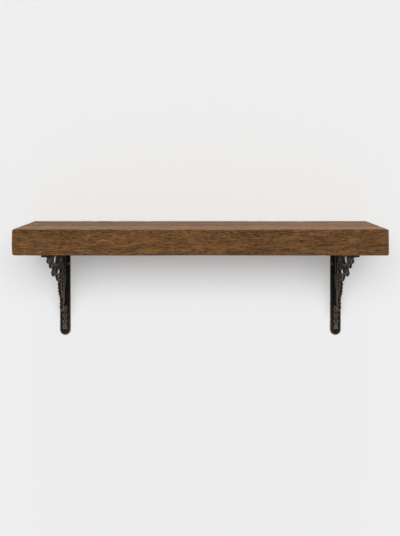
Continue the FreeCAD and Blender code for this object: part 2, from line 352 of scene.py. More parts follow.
def arc_points(start, middle, end, count=60):
    """Points along the circle through three points of the web, each out and down in millimetres."""
    start, middle, end = (np.array(point, dtype=float) for point in (start, middle, end))
    rows = 2 * np.array([middle - start, end - start])
    centre = np.linalg.solve(rows, [middle @ middle - start @ start, end @ end - start @ start])
    angles = [math.atan2(point[1] - centre[1], point[0] - centre[0]) for point in (start, middle, end)]
    turn = (angles[2] - angles[0]) % (2 * math.pi)
    if (angles[1] - angles[0]) % (2 * math.pi) > turn:
        turn -= 2 * math.pi
    sweep = angles[0] + turn * np.linspace(0, 1, count)
    return centre + np.linalg.norm(start - centre) * on_circle(sweep)


def curl_points(centre, radius, count=110):
    """Points along a curl wound inwards about a scroll's centre."""
    share = np.linspace(0, 1, count)
    size = radius + (CURL_EYE - radius) * share
    return np.array(centre) + size[:, None] * on_circle(2 * math.pi * CURL_TURNS * share)


def hoop_points(count=160):
    """Points round the volute."""
    return np.array(VOLUTE_CENTRE) + VOLUTE_R * on_circle(np.linspace(0, 2 * math.pi, count))


def crest_lines():
    """The middle lines of all ribs and curls as a search tree, and the rib's width at each point."""
    lines = [(arc_points(*places), width) for *places, width in RIBS.values()]
    lines.append((hoop_points(), VOLUTE_WIDTH))
    lines += [(curl_points(centre, radius), CURL_WIDTH) for centre, radius in SCROLLS.values()]
    widths = np.concatenate([np.full(len(points), width) for points, width in lines])
    places = np.concatenate([points for points, _ in lines])
    search = KDTree(len(places))
    for index, (out, down) in enumerate(places):
        search.insert((out * MM, down * MM, 0), index)
    search.balance()
    return search, widths * MM


def round_ribs(mesh, middle, crests, carve):
    """Each point's share of the crest it lies on. If asked, also carves the ribs' flat tops round."""
    points, _ = mesh_arrays(mesh)
    crest = np.zeros(len(points))
    search, widths = crests
    out = -points[:, 1]
    down = BOARD_UNDERSIDE - points[:, 2]
    aside = points[:, 0] - middle
    on_web = (out > LEG_FRONT) & (down > ARM_UNDER) & (down < WEB_END)
    for index in np.flatnonzero(on_web & (np.abs(aside) > SHEET_SHARE * WEB_HALF)):
        _, nearest, distance = search.find((out[index], down[index], 0))
        share = min(distance / (widths[nearest] / 2), 1.0)
        crest[index] = 1 - share
        height = WEB_HALF * (1 - RIB_FALL * share ** 2)
        if carve and abs(aside[index]) > height:
            points[index, 0] = middle + math.copysign(height, aside[index])
    move_points(mesh, points)
    return crest


def foot_and_strip_light(mesh, middle):
    """How much paler each point is painted: towards the leg's foot as painted light, out of the shelf's
    shade, and on its raised strip, partly as wear and partly as painted light.
    """
    points, _ = mesh_arrays(mesh)
    down = BOARD_UNDERSIDE - points[:, 2]
    beside = np.abs(points[:, 0] - middle) < STRIP_HALF
    strip = beside & (points[:, 1] < -LEG_FRONT) & (down > STRIP_START) & (down < STRIP_END)
    return STRIP_WEAR_AND_LIGHT * strip + FOOT_PAINTED_LIGHT * np.clip(down / STRIP_END, 0, 1) ** FOOT_LIGHT_POWER


def neighbour_means(points, edges):
    """The middle of each point's neighbours."""
    count = np.zeros(len(points))
    total = np.zeros_like(points)
    for near, far in ((0, 1), (1, 0)):
        count += np.bincount(edges[:, near], minlength=len(points))
        for axis in range(3):
            beyond = points[edges[:, far], axis]
            total[:, axis] += np.bincount(edges[:, near], weights=beyond, minlength=len(points))
    return total / np.maximum(count, 1)[:, None]


def soften(mesh, rounds):
    """Rounds a mesh's edges as sand casting does, without shrinking it much."""
    points, edges = mesh_arrays(mesh)
    for _ in range(rounds):
        for pull in CAST_PULLS:
            points = points + pull * (neighbour_means(points, edges) - points)
    move_points(mesh, points)


def mark_wear_and_light(mesh, span, rounds, rub_and_painted_light):
    """Stores how far each point stands out, with the rubbing and painted light it is given, as a point
    attribute.
    """
    points, edges = mesh_arrays(mesh)
    smooth = points
    for _ in range(rounds):
        smooth = neighbour_means(smooth, edges)
    standing = ((points - smooth) * mesh_normals(mesh)).sum(axis=1)
    wear_and_light = np.clip(standing / span + rub_and_painted_light, 0.0, 1.0)
    mesh.attributes.new("wear_and_light", "FLOAT", "POINT").data.foreach_set("value", wear_and_light)


def roughen(mesh, *grains):
    """Moves each point a little along its normal by noise of several sizes and depths."""
    points, _ = mesh_arrays(mesh)
    push = np.zeros(len(points))
    for size, depth in grains:
        push += depth * np.array([noise.noise(point) for point in (points / size).tolist()])
    move_points(mesh, points + mesh_normals(mesh) * push[:, None])


def worn_metal_group():
    """Shader group: a dark coat over metal, thin on the high edges and paler where painted light is
    marked, with stains and a rough skin.
    """
    group = bpy.data.node_groups.new("worn_metal", "ShaderNodeTree")
    for way, sockets in (
            ("INPUT", {"Coat": "Color", "Bare": "Color", "Wear And Light": "Float", "Grain Scale": "Float"}),
            ("OUTPUT", {"Color": "Color", "Roughness": "Float", "Height": "Float"})):
        for name, kind in sockets.items():
            group.interface.new_socket(name, in_out=way, socket_type=f"NodeSocket{kind}")
    given = group.nodes.new("NodeGroupInput").outputs
    place = group.nodes.new("ShaderNodeTexCoord").outputs["Object"]
    grain = node_link(group, "ShaderNodeTexNoise", {
        "Vector": place, "Scale": given["Grain Scale"], "Detail": GRAIN_DETAIL,
        "Roughness": GRAIN_ROUGHNESS}).outputs["Fac"]
    stain = node_link(group, "ShaderNodeTexNoise", {
        "Vector": place, "Scale": STAIN_SCALE, "Detail": STAIN_DETAIL,
        "Roughness": STAIN_ROUGHNESS}).outputs["Fac"]
    patchy = ranged(group, grain, NOISE_LOW, NOISE_HIGH, -PATCHY_WEAR, PATCHY_WEAR)
    # The share of the bare colour: bare metal where worn, and painted light where the input marks it
    bare = ranged(group, maths(group, "ADD", given["Wear And Light"], patchy), WEAR_SHOWS, 1.0)
    coat = shaded(group, given["Coat"], ranged(group, stain, NOISE_LOW, NOISE_HIGH, *STAIN_SHADES))
    node_link(group, "NodeGroupOutput", {
        "Color": mixed(group, bare, coat, given["Bare"]),
        "Roughness": ranged(group, grain, NOISE_LOW, NOISE_HIGH, *METAL_ROUGHNESS),
        "Height": grain})
    return group


def metal_material(name, coat, bare, grain_scale, metallic):
    """A worn dark metal, read from the piece's own attribute of wear and painted light."""
    material = bpy.data.materials.new(name)
    material.use_nodes = True
    tree = material.node_tree
    shader = tree.nodes["Principled BSDF"]
    shader.inputs["Metallic"].default_value = metallic
    shader.inputs["Specular IOR Level"].default_value = METAL_SHINE
    wear_and_light = node_link(tree, "ShaderNodeAttribute", attribute_name="wear_and_light").outputs["Fac"]
    skin = node_link(tree, "ShaderNodeGroup", {
        "Coat": coat, "Bare": bare, "Wear And Light": wear_and_light, "Grain Scale": grain_scale}, node_tree=WORN_METAL)
    bump = node_link(tree, "ShaderNodeBump", {
        "Height": skin.outputs["Height"], "Strength": METAL_BUMP, "Distance": METAL_BUMP_DEPTH})
    tree.links.new(skin.outputs["Color"], shader.inputs["Base Color"])
    tree.links.new(skin.outputs["Roughness"], shader.inputs["Roughness"])
    tree.links.new(bump.outputs[0], shader.inputs["Normal"])
    return material


CRESTS = crest_lines()
LEAVES = leaf_tree()
WORN_METAL = worn_metal_group()
IRON = metal_material("cast_iron_black_brown", IRON_DARK, IRON_BARE_AND_LIT, IRON_GRAIN, 0.0)
for hand in ("left", "right"):
    node = f"{hand}_bracket"
    low_corner, high_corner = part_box(node)
    middle = (low_corner[0] + high_corner[0]) / 2
    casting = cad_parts[node].data.copy()
    merge_doubles(casting)
    bracket = new_piece(f"{hand}_scroll_bracket", casting)
    pour_as_one(bracket)
    round_ribs(bracket.data, middle, CRESTS, carve=True)
    leaves = bracket.modifiers.new("leaves", "NODES")
    leaves.node_group = LEAVES
    set_input(leaves, "Place", (middle, 0.0, BOARD_UNDERSIDE))
    set_input(leaves, "Material", IRON)
    pour_as_one(bracket)
    crest = round_ribs(bracket.data, middle, CRESTS, carve=False)
    # Painted paler on the crests, the strip and towards the foot: partly wear, partly painted light
    rub_and_painted_light = CREST_WEAR_AND_LIGHT * crest + foot_and_strip_light(bracket.data, middle)
    soften(bracket.data, CAST_ROUNDS)
    mark_wear_and_light(bracket.data, WEAR_SPAN, WEAR_ROUNDS, rub_and_painted_light)
    roughen(bracket.data, SAND_COARSE, SAND_FINE)
    bracket.data.shade_smooth()
    bracket.data.materials.clear()
    bracket.data.materials.append(IRON)
    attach(bracket, "root")
    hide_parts(node)

# Screws: steel wood screws with cross-slotted round heads, browned, with the recess of each cross left
# darker as painted shade and the rest of the skin paler.
# Three to a bracket go through its leg into the wall, and two go up through its arm into the board.
HEAD_R = 4.2 * MM
HEAD_RISE = 2.8 * MM
HEAD_SEGMENTS = 40
HEAD_RINGS = 24
HEAD_STARTS = 0.1
SLOT_LENGTH = 5.8 * MM
SLOT_WIDTH = 2.1 * MM
SLOT_DEPTH = 2.0 * MM
SLOT_RIM = 0.9
SHANK_R = 2.1 * MM
CORE_R = 1.45 * MM
ROUND_SIDES = 28
PLAIN_SHARE = 0.32
POINT_LENGTH = 6.0 * MM
THREAD_PITCH = 1.9 * MM
THREAD_R = 0.8 * MM
THREAD_STEPS = 24
THREAD_SIDES = 3
SCREW_DARK = (0.02, 0.016, 0.0125, 1)
SCREW_BARE = (0.50, 0.42, 0.34, 1)
# Painted shade: how much paler the skin is than the recess of the cross, which is left dark
SCREW_SLOT_SHADE = 0.3
SCREW_WEAR_SPAN = 0.45 * MM
SCREW_WEAR_ROUNDS = 2
SCREW_GRAIN = 900.0
SCREW_METALLIC = 0.35
SHARP_ANGLE = math.radians(35)
SLOT_TURNS = {
    "left_wall_screw_upper_left": 0.4,
    "left_wall_screw_upper_right": 1.2,
    "left_wall_screw_foot": 2.1,
    "right_wall_screw_upper_left": 2.7,
    "right_wall_screw_upper_right": 0.9,
    "right_wall_screw_foot": 0.2,
    "left_shelf_screw_left": 1.7,
    "left_shelf_screw_right": 0.6,
    "right_shelf_screw_left": 2.4,
    "right_shelf_screw_right": 1.1,
}


def screw_head(tree, given):
    """The domed head, with its underside cut flat and its cross cut in."""
    radius = given["Head Radius"]
    rise = given["Head Rise"]
    ball = node_link(tree, "GeometryNodeMeshUVSphere", {
        "Segments": HEAD_SEGMENTS, "Rings": HEAD_RINGS, "Radius": radius})
    flatter = vector_of(tree, X=1.0, Y=1.0, Z=maths(tree, "DIVIDE", rise, radius))
    dome = moved(tree, ball.outputs["Mesh"], size=flatter)
    cut = node_link(tree, "GeometryNodeMeshBoolean", {"Mesh 1": dome}, operation="DIFFERENCE")
    wide = maths(tree, "MULTIPLY", radius, 4.0)
    under = (wide, wide, maths(tree, "MULTIPLY", rise, 2.0), rise)
    top = maths(tree, "MULTIPLY", rise, -1.0)
    deep = maths(tree, "MULTIPLY", given["Slot Depth"], 2.0)
    first_slot = (given["Slot Length"], given["Slot Width"], deep, top)
    second_slot = (given["Slot Width"], given["Slot Length"], deep, top)
    for across, along, height, lift in (under, first_slot, second_slot):
        block = node_link(tree, "GeometryNodeMeshCube", {
            "Size": vector_of(tree, X=across, Y=along, Z=height)})
        tree.links.new(moved(tree, block.outputs["Mesh"], vector_of(tree, Z=lift)), cut.inputs["Mesh 2"])
    return cut.outputs["Mesh"]


def screw_thread(tree, given, length):
    """The thread's ridge, wound round the core for a length."""
    turns = maths(tree, "DIVIDE", length, given["Thread Pitch"])
    helix = node_link(tree, "GeometryNodeCurveSpiral", {
        "Resolution": THREAD_STEPS, "Rotations": turns, "Height": length,
        "Start Radius": given["Core Radius"], "End Radius": given["Core Radius"]})
    edge = node_link(tree, "GeometryNodeCurvePrimitiveCircle", {
        "Resolution": THREAD_SIDES, "Radius": given["Thread Radius"]})
    return node_link(tree, "GeometryNodeCurveToMesh", {
        "Curve": helix.outputs[0], "Profile Curve": edge.outputs[0], "Fill Caps": True}).outputs[0]


def screw_tree():
    """Geometry nodes for a round-head wood screw along +Z, its head's underside at the origin."""
    tree, given = shape_tree("wood_screw", {
        "Length": 0.0, "Head Radius": HEAD_R, "Head Rise": HEAD_RISE,
        "Slot Length": SLOT_LENGTH, "Slot Width": SLOT_WIDTH, "Slot Depth": SLOT_DEPTH,
        "Shank Radius": SHANK_R, "Core Radius": CORE_R, "Point Length": POINT_LENGTH,
        "Thread Pitch": THREAD_PITCH, "Thread Radius": THREAD_R})
    plain = maths(tree, "MULTIPLY", given["Length"], PLAIN_SHARE)
    core = maths(tree, "SUBTRACT", given["Length"], given["Point Length"])
    shapes = [screw_head(tree, given)]
    for radius, reach in ((given["Shank Radius"], plain), (given["Core Radius"], core)):
        bar = node_link(tree, "GeometryNodeMeshCylinder", {
            "Vertices": ROUND_SIDES, "Radius": radius, "Depth": reach})
        half = vector_of(tree, Z=maths(tree, "MULTIPLY", reach, 0.5))
        shapes.append(moved(tree, bar.outputs["Mesh"], half))
    point = node_link(tree, "GeometryNodeMeshCone", {
        "Vertices": ROUND_SIDES, "Radius Bottom": given["Core Radius"], "Radius Top": 0.0,
        "Depth": given["Point Length"]})
    shapes.append(moved(tree, point.outputs["Mesh"], vector_of(tree, Z=core)))
    thread = screw_thread(tree, given, maths(tree, "SUBTRACT", core, plain))
    shapes.append(moved(tree, thread, vector_of(tree, Z=plain)))
    joined = node_link(tree, "GeometryNodeJoinGeometry")
    for shape in shapes:
        tree.links.new(shape, joined.inputs[0])
    end_tree(tree, joined.outputs[0], given["Material"])
    return tree


def outside_slots(mesh):
    """1 on the screw's outer skin and 0 inside the cross in its head, which is left darker as painted
    shade.
    """
    points, _ = mesh_arrays(mesh)
    on_dome = ((points / (HEAD_R, HEAD_R, HEAD_RISE)) ** 2).sum(axis=1)
    in_head = points[:, 2] < -HEAD_STARTS * HEAD_RISE
    return 1.0 - (in_head & (on_dome < SLOT_RIM))


def drive_screw(node, turn):
    """Makes one screw where its CAD node is, with its cross turned by an angle."""
    low_corner, high_corner = (Vector(corner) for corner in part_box(node))
    into_wall = "wall" in node
    long_axis = 1 if into_wall else 2
    seat = (low_corner + high_corner) / 2
    seat[long_axis] = low_corner[long_axis] + HEAD_RISE
    screw = new_piece(f"{node}_threaded", bpy.data.meshes.new(node))
    shape = screw.modifiers.new("screw", "NODES")
    shape.node_group = SCREW
    set_input(shape, "Length", high_corner[long_axis] - seat[long_axis])
    set_input(shape, "Material", BROWNED_STEEL)
    screw.data = settled_mesh(screw)
    # The recess of the cross left dark as painted shade
    rub_and_painted_light = SCREW_SLOT_SHADE * outside_slots(screw.data)
    aim = Matrix.Rotation(-math.pi / 2, 4, "X") if into_wall else Matrix.Identity(4)
    screw.data.transform(Matrix.Translation(seat) @ aim @ Matrix.Rotation(turn, 4, "Z"))
    mark_wear_and_light(screw.data, SCREW_WEAR_SPAN, SCREW_WEAR_ROUNDS, rub_and_painted_light)
    screw.data.set_sharp_from_angle(angle=SHARP_ANGLE)
    screw.data.materials.clear()
    screw.data.materials.append(BROWNED_STEEL)
    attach(screw, "root")
    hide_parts(node)


SCREW = screw_tree()
BROWNED_STEEL = metal_material("browned_screw_steel", SCREW_DARK, SCREW_BARE, SCREW_GRAIN, SCREW_METALLIC)
for node, turn in SLOT_TURNS.items():
    drive_screw(node, turn)

# Board: one thick plank of old softwood, sawn, planed by hand and stained dark brown. Its edges are eased
# by use, with small dents, and its grain runs the length of the plank. It lies on the brackets' arms, and
# the shelf screws hold it from below.
BOARD_LOW, BOARD_HIGH = (Vector(corner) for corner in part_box("shelf_board"))
EDGE_R = 0.9 * MM
END_R = 4.4 * MM
END_REACH = 12 * MM
WORN_REACH = 1.3 * MM
UNEVEN_SHARE = 0.4
UNEVEN_SIZE = 60 * MM
EDGE_STEPS = (0.0, 0.4, 0.9, 1.5, 2.3, 3.4, 4.8, 6.4)
GRID_STEP = 3.4 * MM

# Hand planing and raised grain: waves in a metre along, across and up the plank, and depth
PLANE_WAVES = ((5, 14, 20), 0.35 * MM)
RAISED_GRAIN = ((9, 140, 140), 0.22 * MM)
MOST_RISE = 0.4 * MM
DENT_COUNT = 48
DENT_SEED = 11
DENT_EDGES = ((1, 2), (1, 2), (1, 2), (0, 2), (0, 1))
DENT_SIZES = (4.0, 15.0)
DENT_DEPTHS = (0.15, 0.55)

# Grain patterns: size along, across and up the plank in metres, detail and roughness
WANDER = ((0.34, 0.16, 0.16), 1.0, 0.55)
BANDS = ((0.4, 0.03, 0.03), 2.0, 0.55)
PATCHES = ((0.05, 0.011, 0.011), 4.0, 0.66)
FIBRE = ((0.05, 0.0024, 0.0024), 4.0, 0.64)
FINE_FIBRE = ((0.018, 0.0009, 0.0009), 3.0, 0.6)
FADING = ((0.12, 0.018, 0.018), 2.0, 0.55)
PORES = ((0.0085, 0.0017, 0.0017), 3.0, 0.6)
FLECKS = ((0.012, 0.0022, 0.0022), 3.0, 0.6)
STREAKS = ((1.1, 0.021, 0.03), 2.0, 0.55)
RAGGED = ((0.004, 0.002, 0.002), 3.0, 0.55)
EDGE_PATCHES = ((0.03, 0.008, 0.008), 4.0, 0.55)

# What the grain patterns do: each one's low and high noise, and the factor or share that these stand for
PATCH_RANGE = (0.36, 0.64)
BAND_SHADES = (0.35, 0.65, 0.86, 1.14)
FIBRE_SHADES = (0.32, 0.68, 0.58, 1.42)
FINE_SHADES = (0.32, 0.68, 0.74, 1.26)
STREAK_SHADES = (0.34, 0.62, 0.8, 1.14)
FADING_RANGE = (0.38, 0.62, 0.05, 0.7)
FLECK_RANGE = (0.52, 0.73, 0.0, 0.75)
PORE_RANGE = (0.53, 0.67, 0.0, 0.9)
PORE_RELIEF = (0.6, 0.72, 0.0, -0.8)
EDGE_PATCH_RANGE = (0.35, 0.65)
ROUGHNESS_RANGE = (0.7, 1.3, 0.5, 0.66)

# Growth rings, pits and the dark line of grain along the top
WANDER_REACH = 0.05
PITH = (0, -0.115, 0.19)
RING_WIDTH = 5.2 * MM
RING_SHADES = ((0.55, 0.12), (0.82, 0.7), (0.93, 1.0))
PIT_CELL = (0.021, 0.014, 0.014)
PIT_SHARE = 0.16
PIT_FLOOR = 0.4
PIT_TEAR = 4.5 * MM
PIT_CHANCE = (0.3, 0.6)
PIT_DARK = 0.85
PIT_RELIEF = -2.0
DARK_LINE_Y = -0.108
DARK_LINE_HALF = 17 * MM
DARK_LINE_SHARE = 0.8

# Ends, top and edges: the slopes at which each begins and is whole, and how far it is coloured
END_FACING = (0.6, 0.9)
TOP_FACING = (0.8, 0.97)
END_DARK = 0.25
TOP_FLECKS = 0.55
# How strongly the edges are marked, paler above as wear and painted highlight, darker below as painted
# shade, and the heights where the two meet
EDGE_MARK_SHARE = 0.6
LOW_EDGE_SHADE_RANGE = (-0.01, 0.01, 1.0, 0.0)

TIMBER_DARK = (0.088, 0.041, 0.0128, 1)
TIMBER_LIGHT = (0.178, 0.086, 0.030, 1)
LATE_WOOD = (0.042, 0.019, 0.0075, 1)
FLECK_GOLD = (0.34, 0.140, 0.034, 1)
PORE_BROWN = (0.017, 0.0085, 0.005, 1)
PIT_BROWN = (0.014, 0.0075, 0.0045, 1)
DARK_LINE_BROWN = (0.085, 0.048, 0.026, 1)
# Edge colours: paler above, partly wear and partly a painted highlight, and darker below as painted shade
EDGE_RUB_AND_HIGHLIGHT = (0.30, 0.17, 0.082, 1)
LOW_EDGE_SHADE = (0.030, 0.014, 0.006, 1)
END_SHADE = (0.5, 0.5, 0.5, 1)
# Painted light and sheen on the plank's top: how much paler and greyer it is at the front and at the back
FRONT_TOP_LIGHT = (2.24, 2.46, 2.9, 1)
BACK_TOP_LIGHT = (1.12, 1.22, 1.34, 1)
# The colour's factors at the bottom and at the top of the plank: lighter towards the bottom, darker
# towards the top
BOTTOM_TOP_FACTORS = (1.08, 0.93)
TIMBER_SHINE = 0.1
TIMBER_BUMP = 0.45
TIMBER_BUMP_DEPTH = 0.6 * MM


def grid_lines(low, high):
    """Places of the grid lines along one side of the plank, close together at its edges."""
    near = [low + step * MM for step in EDGE_STEPS]
    far = [high - step * MM for step in reversed(EDGE_STEPS)]
    count = round((far[0] - near[-1]) / GRID_STEP)
    between = [near[-1] + (far[0] - near[-1]) * i / count for i in range(1, count)]
    return np.array(near + between + far)


def plank_mesh():
    """A fine grid over the six faces of the plank."""
    lines = [grid_lines(BOARD_LOW[axis], BOARD_HIGH[axis]) for axis in range(3)]
    points = []
    quads = []
    for axis in range(3):
        first, second = (axis + 1) % 3, (axis + 2) % 3
        across, along = np.meshgrid(lines[first], lines[second], indexing="ij")
        rows, columns = across.shape
        for side, flip in ((BOARD_LOW[axis], True), (BOARD_HIGH[axis], False)):
            sheet = np.empty((rows * columns, 3))
            sheet[:, axis] = side
            sheet[:, first] = across.ravel()
            sheet[:, second] = along.ravel()
            base = sum(len(done) for done in points)
            corner = (np.arange(rows - 1)[:, None] * columns + np.arange(columns - 1)).ravel() + base
            loop = np.stack([corner, corner + columns, corner + columns + 1, corner + 1], axis=1)
            quads.append(loop[:, ::-1] if flip else loop)
            points.append(sheet)
    mesh = bpy.data.meshes.new("plank")
    mesh.from_pydata(np.concatenate(points).tolist(), [], np.concatenate(quads).tolist())
    merge_doubles(mesh)
    return mesh


def ease_edges(mesh):
    """Rounds the plank's edges unevenly, as use leaves them, and notes how near each point is to one."""
    points, _ = mesh_arrays(mesh)
    low, high = np.array(BOARD_LOW), np.array(BOARD_HIGH)
    inset = np.minimum(points - low, high - points)
    inset.sort(axis=1)
    near_edge = np.exp(-inset[:, 1] / WORN_REACH)
    from_end = np.minimum(points[:, 0] - low[0], high[0] - points[:, 0])
    by_end = EDGE_R + (END_R - EDGE_R) * np.exp(-from_end / END_REACH)
    uneven = np.array([1 + UNEVEN_SHARE * noise.noise(Vector(point) / UNEVEN_SIZE) for point in points])
    radius = np.stack([by_end, np.full(len(points), EDGE_R), by_end], axis=1) * uneven[:, None]
    core = np.clip(points, low + radius, high - radius)
    away = (points - core) / radius
    reach = np.linalg.norm(away, axis=1)
    mesh.attributes.new("edge", "FLOAT", "POINT").data.foreach_set("value", near_edge)
    move_points(mesh, core + away * radius / np.maximum(reach, 1)[:, None])


def weather(mesh):
    """Works the plank's faces: slow waves of the plane, raised grain, and dents at its edges."""
    points, _ = mesh_arrays(mesh)
    push = np.zeros(len(points))
    for waves, depth in (PLANE_WAVES, RAISED_GRAIN):
        push += depth * np.array([noise.noise(point) for point in (points * waves).tolist()])
    chance = np.random.default_rng(DENT_SEED)
    for _ in range(DENT_COUNT):
        place = np.array([chance.uniform(BOARD_LOW[axis], BOARD_HIGH[axis]) for axis in range(3)])
        for axis in DENT_EDGES[chance.integers(len(DENT_EDGES))]:
            place[axis] = (BOARD_LOW if chance.random() < 0.5 else BOARD_HIGH)[axis]
        size = chance.uniform(*DENT_SIZES) * MM
        depth = chance.uniform(*DENT_DEPTHS) * MM
        push -= depth * np.exp(-((points - place) ** 2).sum(axis=1) / size ** 2)
    move_points(mesh, points + mesh_normals(mesh) * np.minimum(push, MOST_RISE)[:, None])


def vector_maths(tree, operation, *values):
    """The vector that a vector-maths node gives."""
    inputs = dict(enumerate(values))
    return node_link(tree, "ShaderNodeVectorMath", inputs, operation=operation).outputs[0]


def parts_of(tree, vector):
    """A vector's X, Y and Z."""
    return node_link(tree, "ShaderNodeSeparateXYZ", {"Vector": vector}).outputs


def drawn_out(tree, source, size):
    """Coordinates in which a cell of the given size along, across and up the plank has size 1."""
    return vector_maths(tree, "MULTIPLY", source, tuple(1 / length for length in size))


def grain(tree, source, pattern):
    """Noise drawn out along the plank by a grain pattern."""
    size, detail, roughness = pattern
    return node_link(tree, "ShaderNodeTexNoise", {
        "Vector": drawn_out(tree, source, size), "Scale": 1.0, "Detail": detail,
        "Roughness": roughness}).outputs


def wandering(tree, place):
    """Coordinates that wander slowly, so that the rings and fibres aren't straight."""
    centred = vector_maths(tree, "SUBTRACT", grain(tree, place, WANDER)["Color"], (0.5, 0.5, 0.5))
    return vector_maths(tree, "MULTIPLY_ADD", centred, (WANDER_REACH,) * 3, place)


def late_rings(tree, wavering):
    """Growth rings about the pith, dark where each ring's late wood ends."""
    across = vector_maths(tree, "MULTIPLY", vector_maths(tree, "SUBTRACT", wavering, PITH), (0, 1, 1))
    radius = node_link(tree, "ShaderNodeVectorMath", {0: across}, operation="LENGTH").outputs["Value"]
    phase = maths(tree, "FRACT", maths(tree, "DIVIDE", radius, RING_WIDTH))
    late = node_link(tree, "ShaderNodeFloatCurve", {"Value": phase})
    curve = late.mapping.curves[0]
    for spot, height in RING_SHADES:
        curve.points.new(spot, height)
    curve.points[0].location = (0.0, 0.0)
    curve.points[-1].location = (1.0, 0.0)
    late.mapping.update()
    return late.outputs[0]


def torn_pits(tree, place):
    """Small ragged pits, in some cells of the timber only."""
    ragged = grain(tree, place, RAGGED)["Color"]
    torn = vector_maths(tree, "MULTIPLY_ADD", ragged, (PIT_TEAR,) * 3, place)
    pecks = node_link(tree, "ShaderNodeTexVoronoi", {
        "Vector": drawn_out(tree, torn, PIT_CELL), "Scale": 1.0}).outputs
    chance = node_link(tree, "ShaderNodeSeparateColor", {"Color": pecks["Color"]}).outputs[0]
    depth = ranged(tree, pecks["Distance"], PIT_SHARE, PIT_FLOOR * PIT_SHARE)
    return maths(tree, "MULTIPLY", depth, ranged(tree, chance, *PIT_CHANCE))


def top_painted_light(tree, color, place, wavering):
    """The colour of the plank's top: painted light and sheen, paler and greyer than the sides and most at
    the front, in streaks, with one dark line.
    """
    back = ranged(tree, parts_of(tree, place)["Y"], BOARD_LOW.y, BOARD_HIGH.y)
    top_lit = mixed(tree, 1.0, color, mixed(tree, back, FRONT_TOP_LIGHT, BACK_TOP_LIGHT), "MULTIPLY")
    streaks = grain(tree, place, STREAKS)["Fac"]
    top_lit = shaded(tree, top_lit, ranged(tree, streaks, *STREAK_SHADES))
    aside = maths(tree, "SUBTRACT", parts_of(tree, wavering)["Y"], DARK_LINE_Y)
    dark_line = ranged(tree, maths(tree, "ABSOLUTE", aside), 0.0, DARK_LINE_HALF, DARK_LINE_SHARE, 0.0)
    return mixed(tree, dark_line, top_lit, DARK_LINE_BROWN)


def rubbed_and_shaded_edges(tree, color, place):
    """The plank's colour at its edges: paler above, partly as wear and partly as a painted highlight, and
    darker below as painted shade.
    """
    edge = node_link(tree, "ShaderNodeAttribute", attribute_name="edge").outputs["Fac"]
    patchy = ranged(tree, grain(tree, place, EDGE_PATCHES)["Fac"], *EDGE_PATCH_RANGE)
    rub_and_painted_light = maths(tree, "MULTIPLY", maths(tree, "MULTIPLY", edge, patchy), EDGE_MARK_SHARE)
    low_edge = ranged(tree, parts_of(tree, place)["Z"], *LOW_EDGE_SHADE_RANGE)
    edge_tone = mixed(tree, low_edge, EDGE_RUB_AND_HIGHLIGHT, LOW_EDGE_SHADE)
    return mixed(tree, rub_and_painted_light, color, edge_tone)


def timber_material():
    """Stained old softwood, solid through: growth rings about a pith, fibres, pores and flecks."""
    material = bpy.data.materials.new("old_brown_timber")
    material.use_nodes = True
    tree = material.node_tree
    shader = tree.nodes["Principled BSDF"]
    shader.inputs["Specular IOR Level"].default_value = TIMBER_SHINE
    place = tree.nodes.new("ShaderNodeTexCoord").outputs["Object"]
    wavering = wandering(tree, place)
    facing = parts_of(tree, tree.nodes.new("ShaderNodeNewGeometry").outputs["Normal"])
    on_end = ranged(tree, maths(tree, "ABSOLUTE", facing["X"]), *END_FACING)
    on_top = ranged(tree, facing["Z"], *TOP_FACING)
    fibre = grain(tree, wavering, FIBRE)["Fac"]
    fine = grain(tree, place, FINE_FIBRE)["Fac"]
    pores = grain(tree, place, PORES)["Fac"]
    pits = torn_pits(tree, place)

    patches = ranged(tree, grain(tree, wavering, PATCHES)["Fac"], *PATCH_RANGE)
    color = mixed(tree, patches, TIMBER_DARK, TIMBER_LIGHT)
    bands = grain(tree, place, BANDS)["Fac"]
    for lines, shades in ((bands, BAND_SHADES), (fibre, FIBRE_SHADES), (fine, FINE_SHADES)):
        color = shaded(tree, color, ranged(tree, lines, *shades))
    height = parts_of(tree, place)["Z"]
    # Lighter towards the bottom of the plank, darker towards its top
    color = shaded(tree, color, ranged(tree, height, BOARD_LOW.z, BOARD_HIGH.z, *BOTTOM_TOP_FACTORS))

    fading = ranged(tree, grain(tree, place, FADING)["Fac"], *FADING_RANGE)
    rings = maths(tree, "MULTIPLY", late_rings(tree, wavering), maths(tree, "MAXIMUM", fading, on_end))
    color = mixed(tree, rings, color, LATE_WOOD)
    flecks = ranged(tree, grain(tree, wavering, FLECKS)["Fac"], *FLECK_RANGE)
    fewer_on_top = ranged(tree, on_top, 0.0, 1.0, 1.0, TOP_FLECKS)
    color = mixed(tree, maths(tree, "MULTIPLY", flecks, fewer_on_top), color, FLECK_GOLD)
    color = mixed(tree, ranged(tree, pores, *PORE_RANGE), color, PORE_BROWN)
    dark_end = mixed(tree, 1.0, color, END_SHADE, "MULTIPLY")
    color = mixed(tree, maths(tree, "MULTIPLY", on_end, END_DARK), color, dark_end)
    # Painted light and sheen: the top made paler and greyer, most at the front
    color = mixed(tree, on_top, color, top_painted_light(tree, color, place, wavering))
    color = mixed(tree, maths(tree, "MULTIPLY", pits, PIT_DARK), color, PIT_BROWN)
    # Edges paler above, partly wear and partly painted highlight, and darker below as painted shade
    tree.links.new(rubbed_and_shaded_edges(tree, color, place), shader.inputs["Base Color"])

    fibres = maths(tree, "ADD", fibre, fine)
    tree.links.new(ranged(tree, fibres, *ROUGHNESS_RANGE), shader.inputs["Roughness"])
    deep_pits = maths(tree, "MULTIPLY", pits, PIT_RELIEF)
    hollows = maths(tree, "ADD", ranged(tree, pores, *PORE_RELIEF), deep_pits)
    bump = node_link(tree, "ShaderNodeBump", {
        "Height": maths(tree, "ADD", fibres, hollows), "Strength": TIMBER_BUMP,
        "Distance": TIMBER_BUMP_DEPTH})
    tree.links.new(bump.outputs[0], shader.inputs["Normal"])
    return material


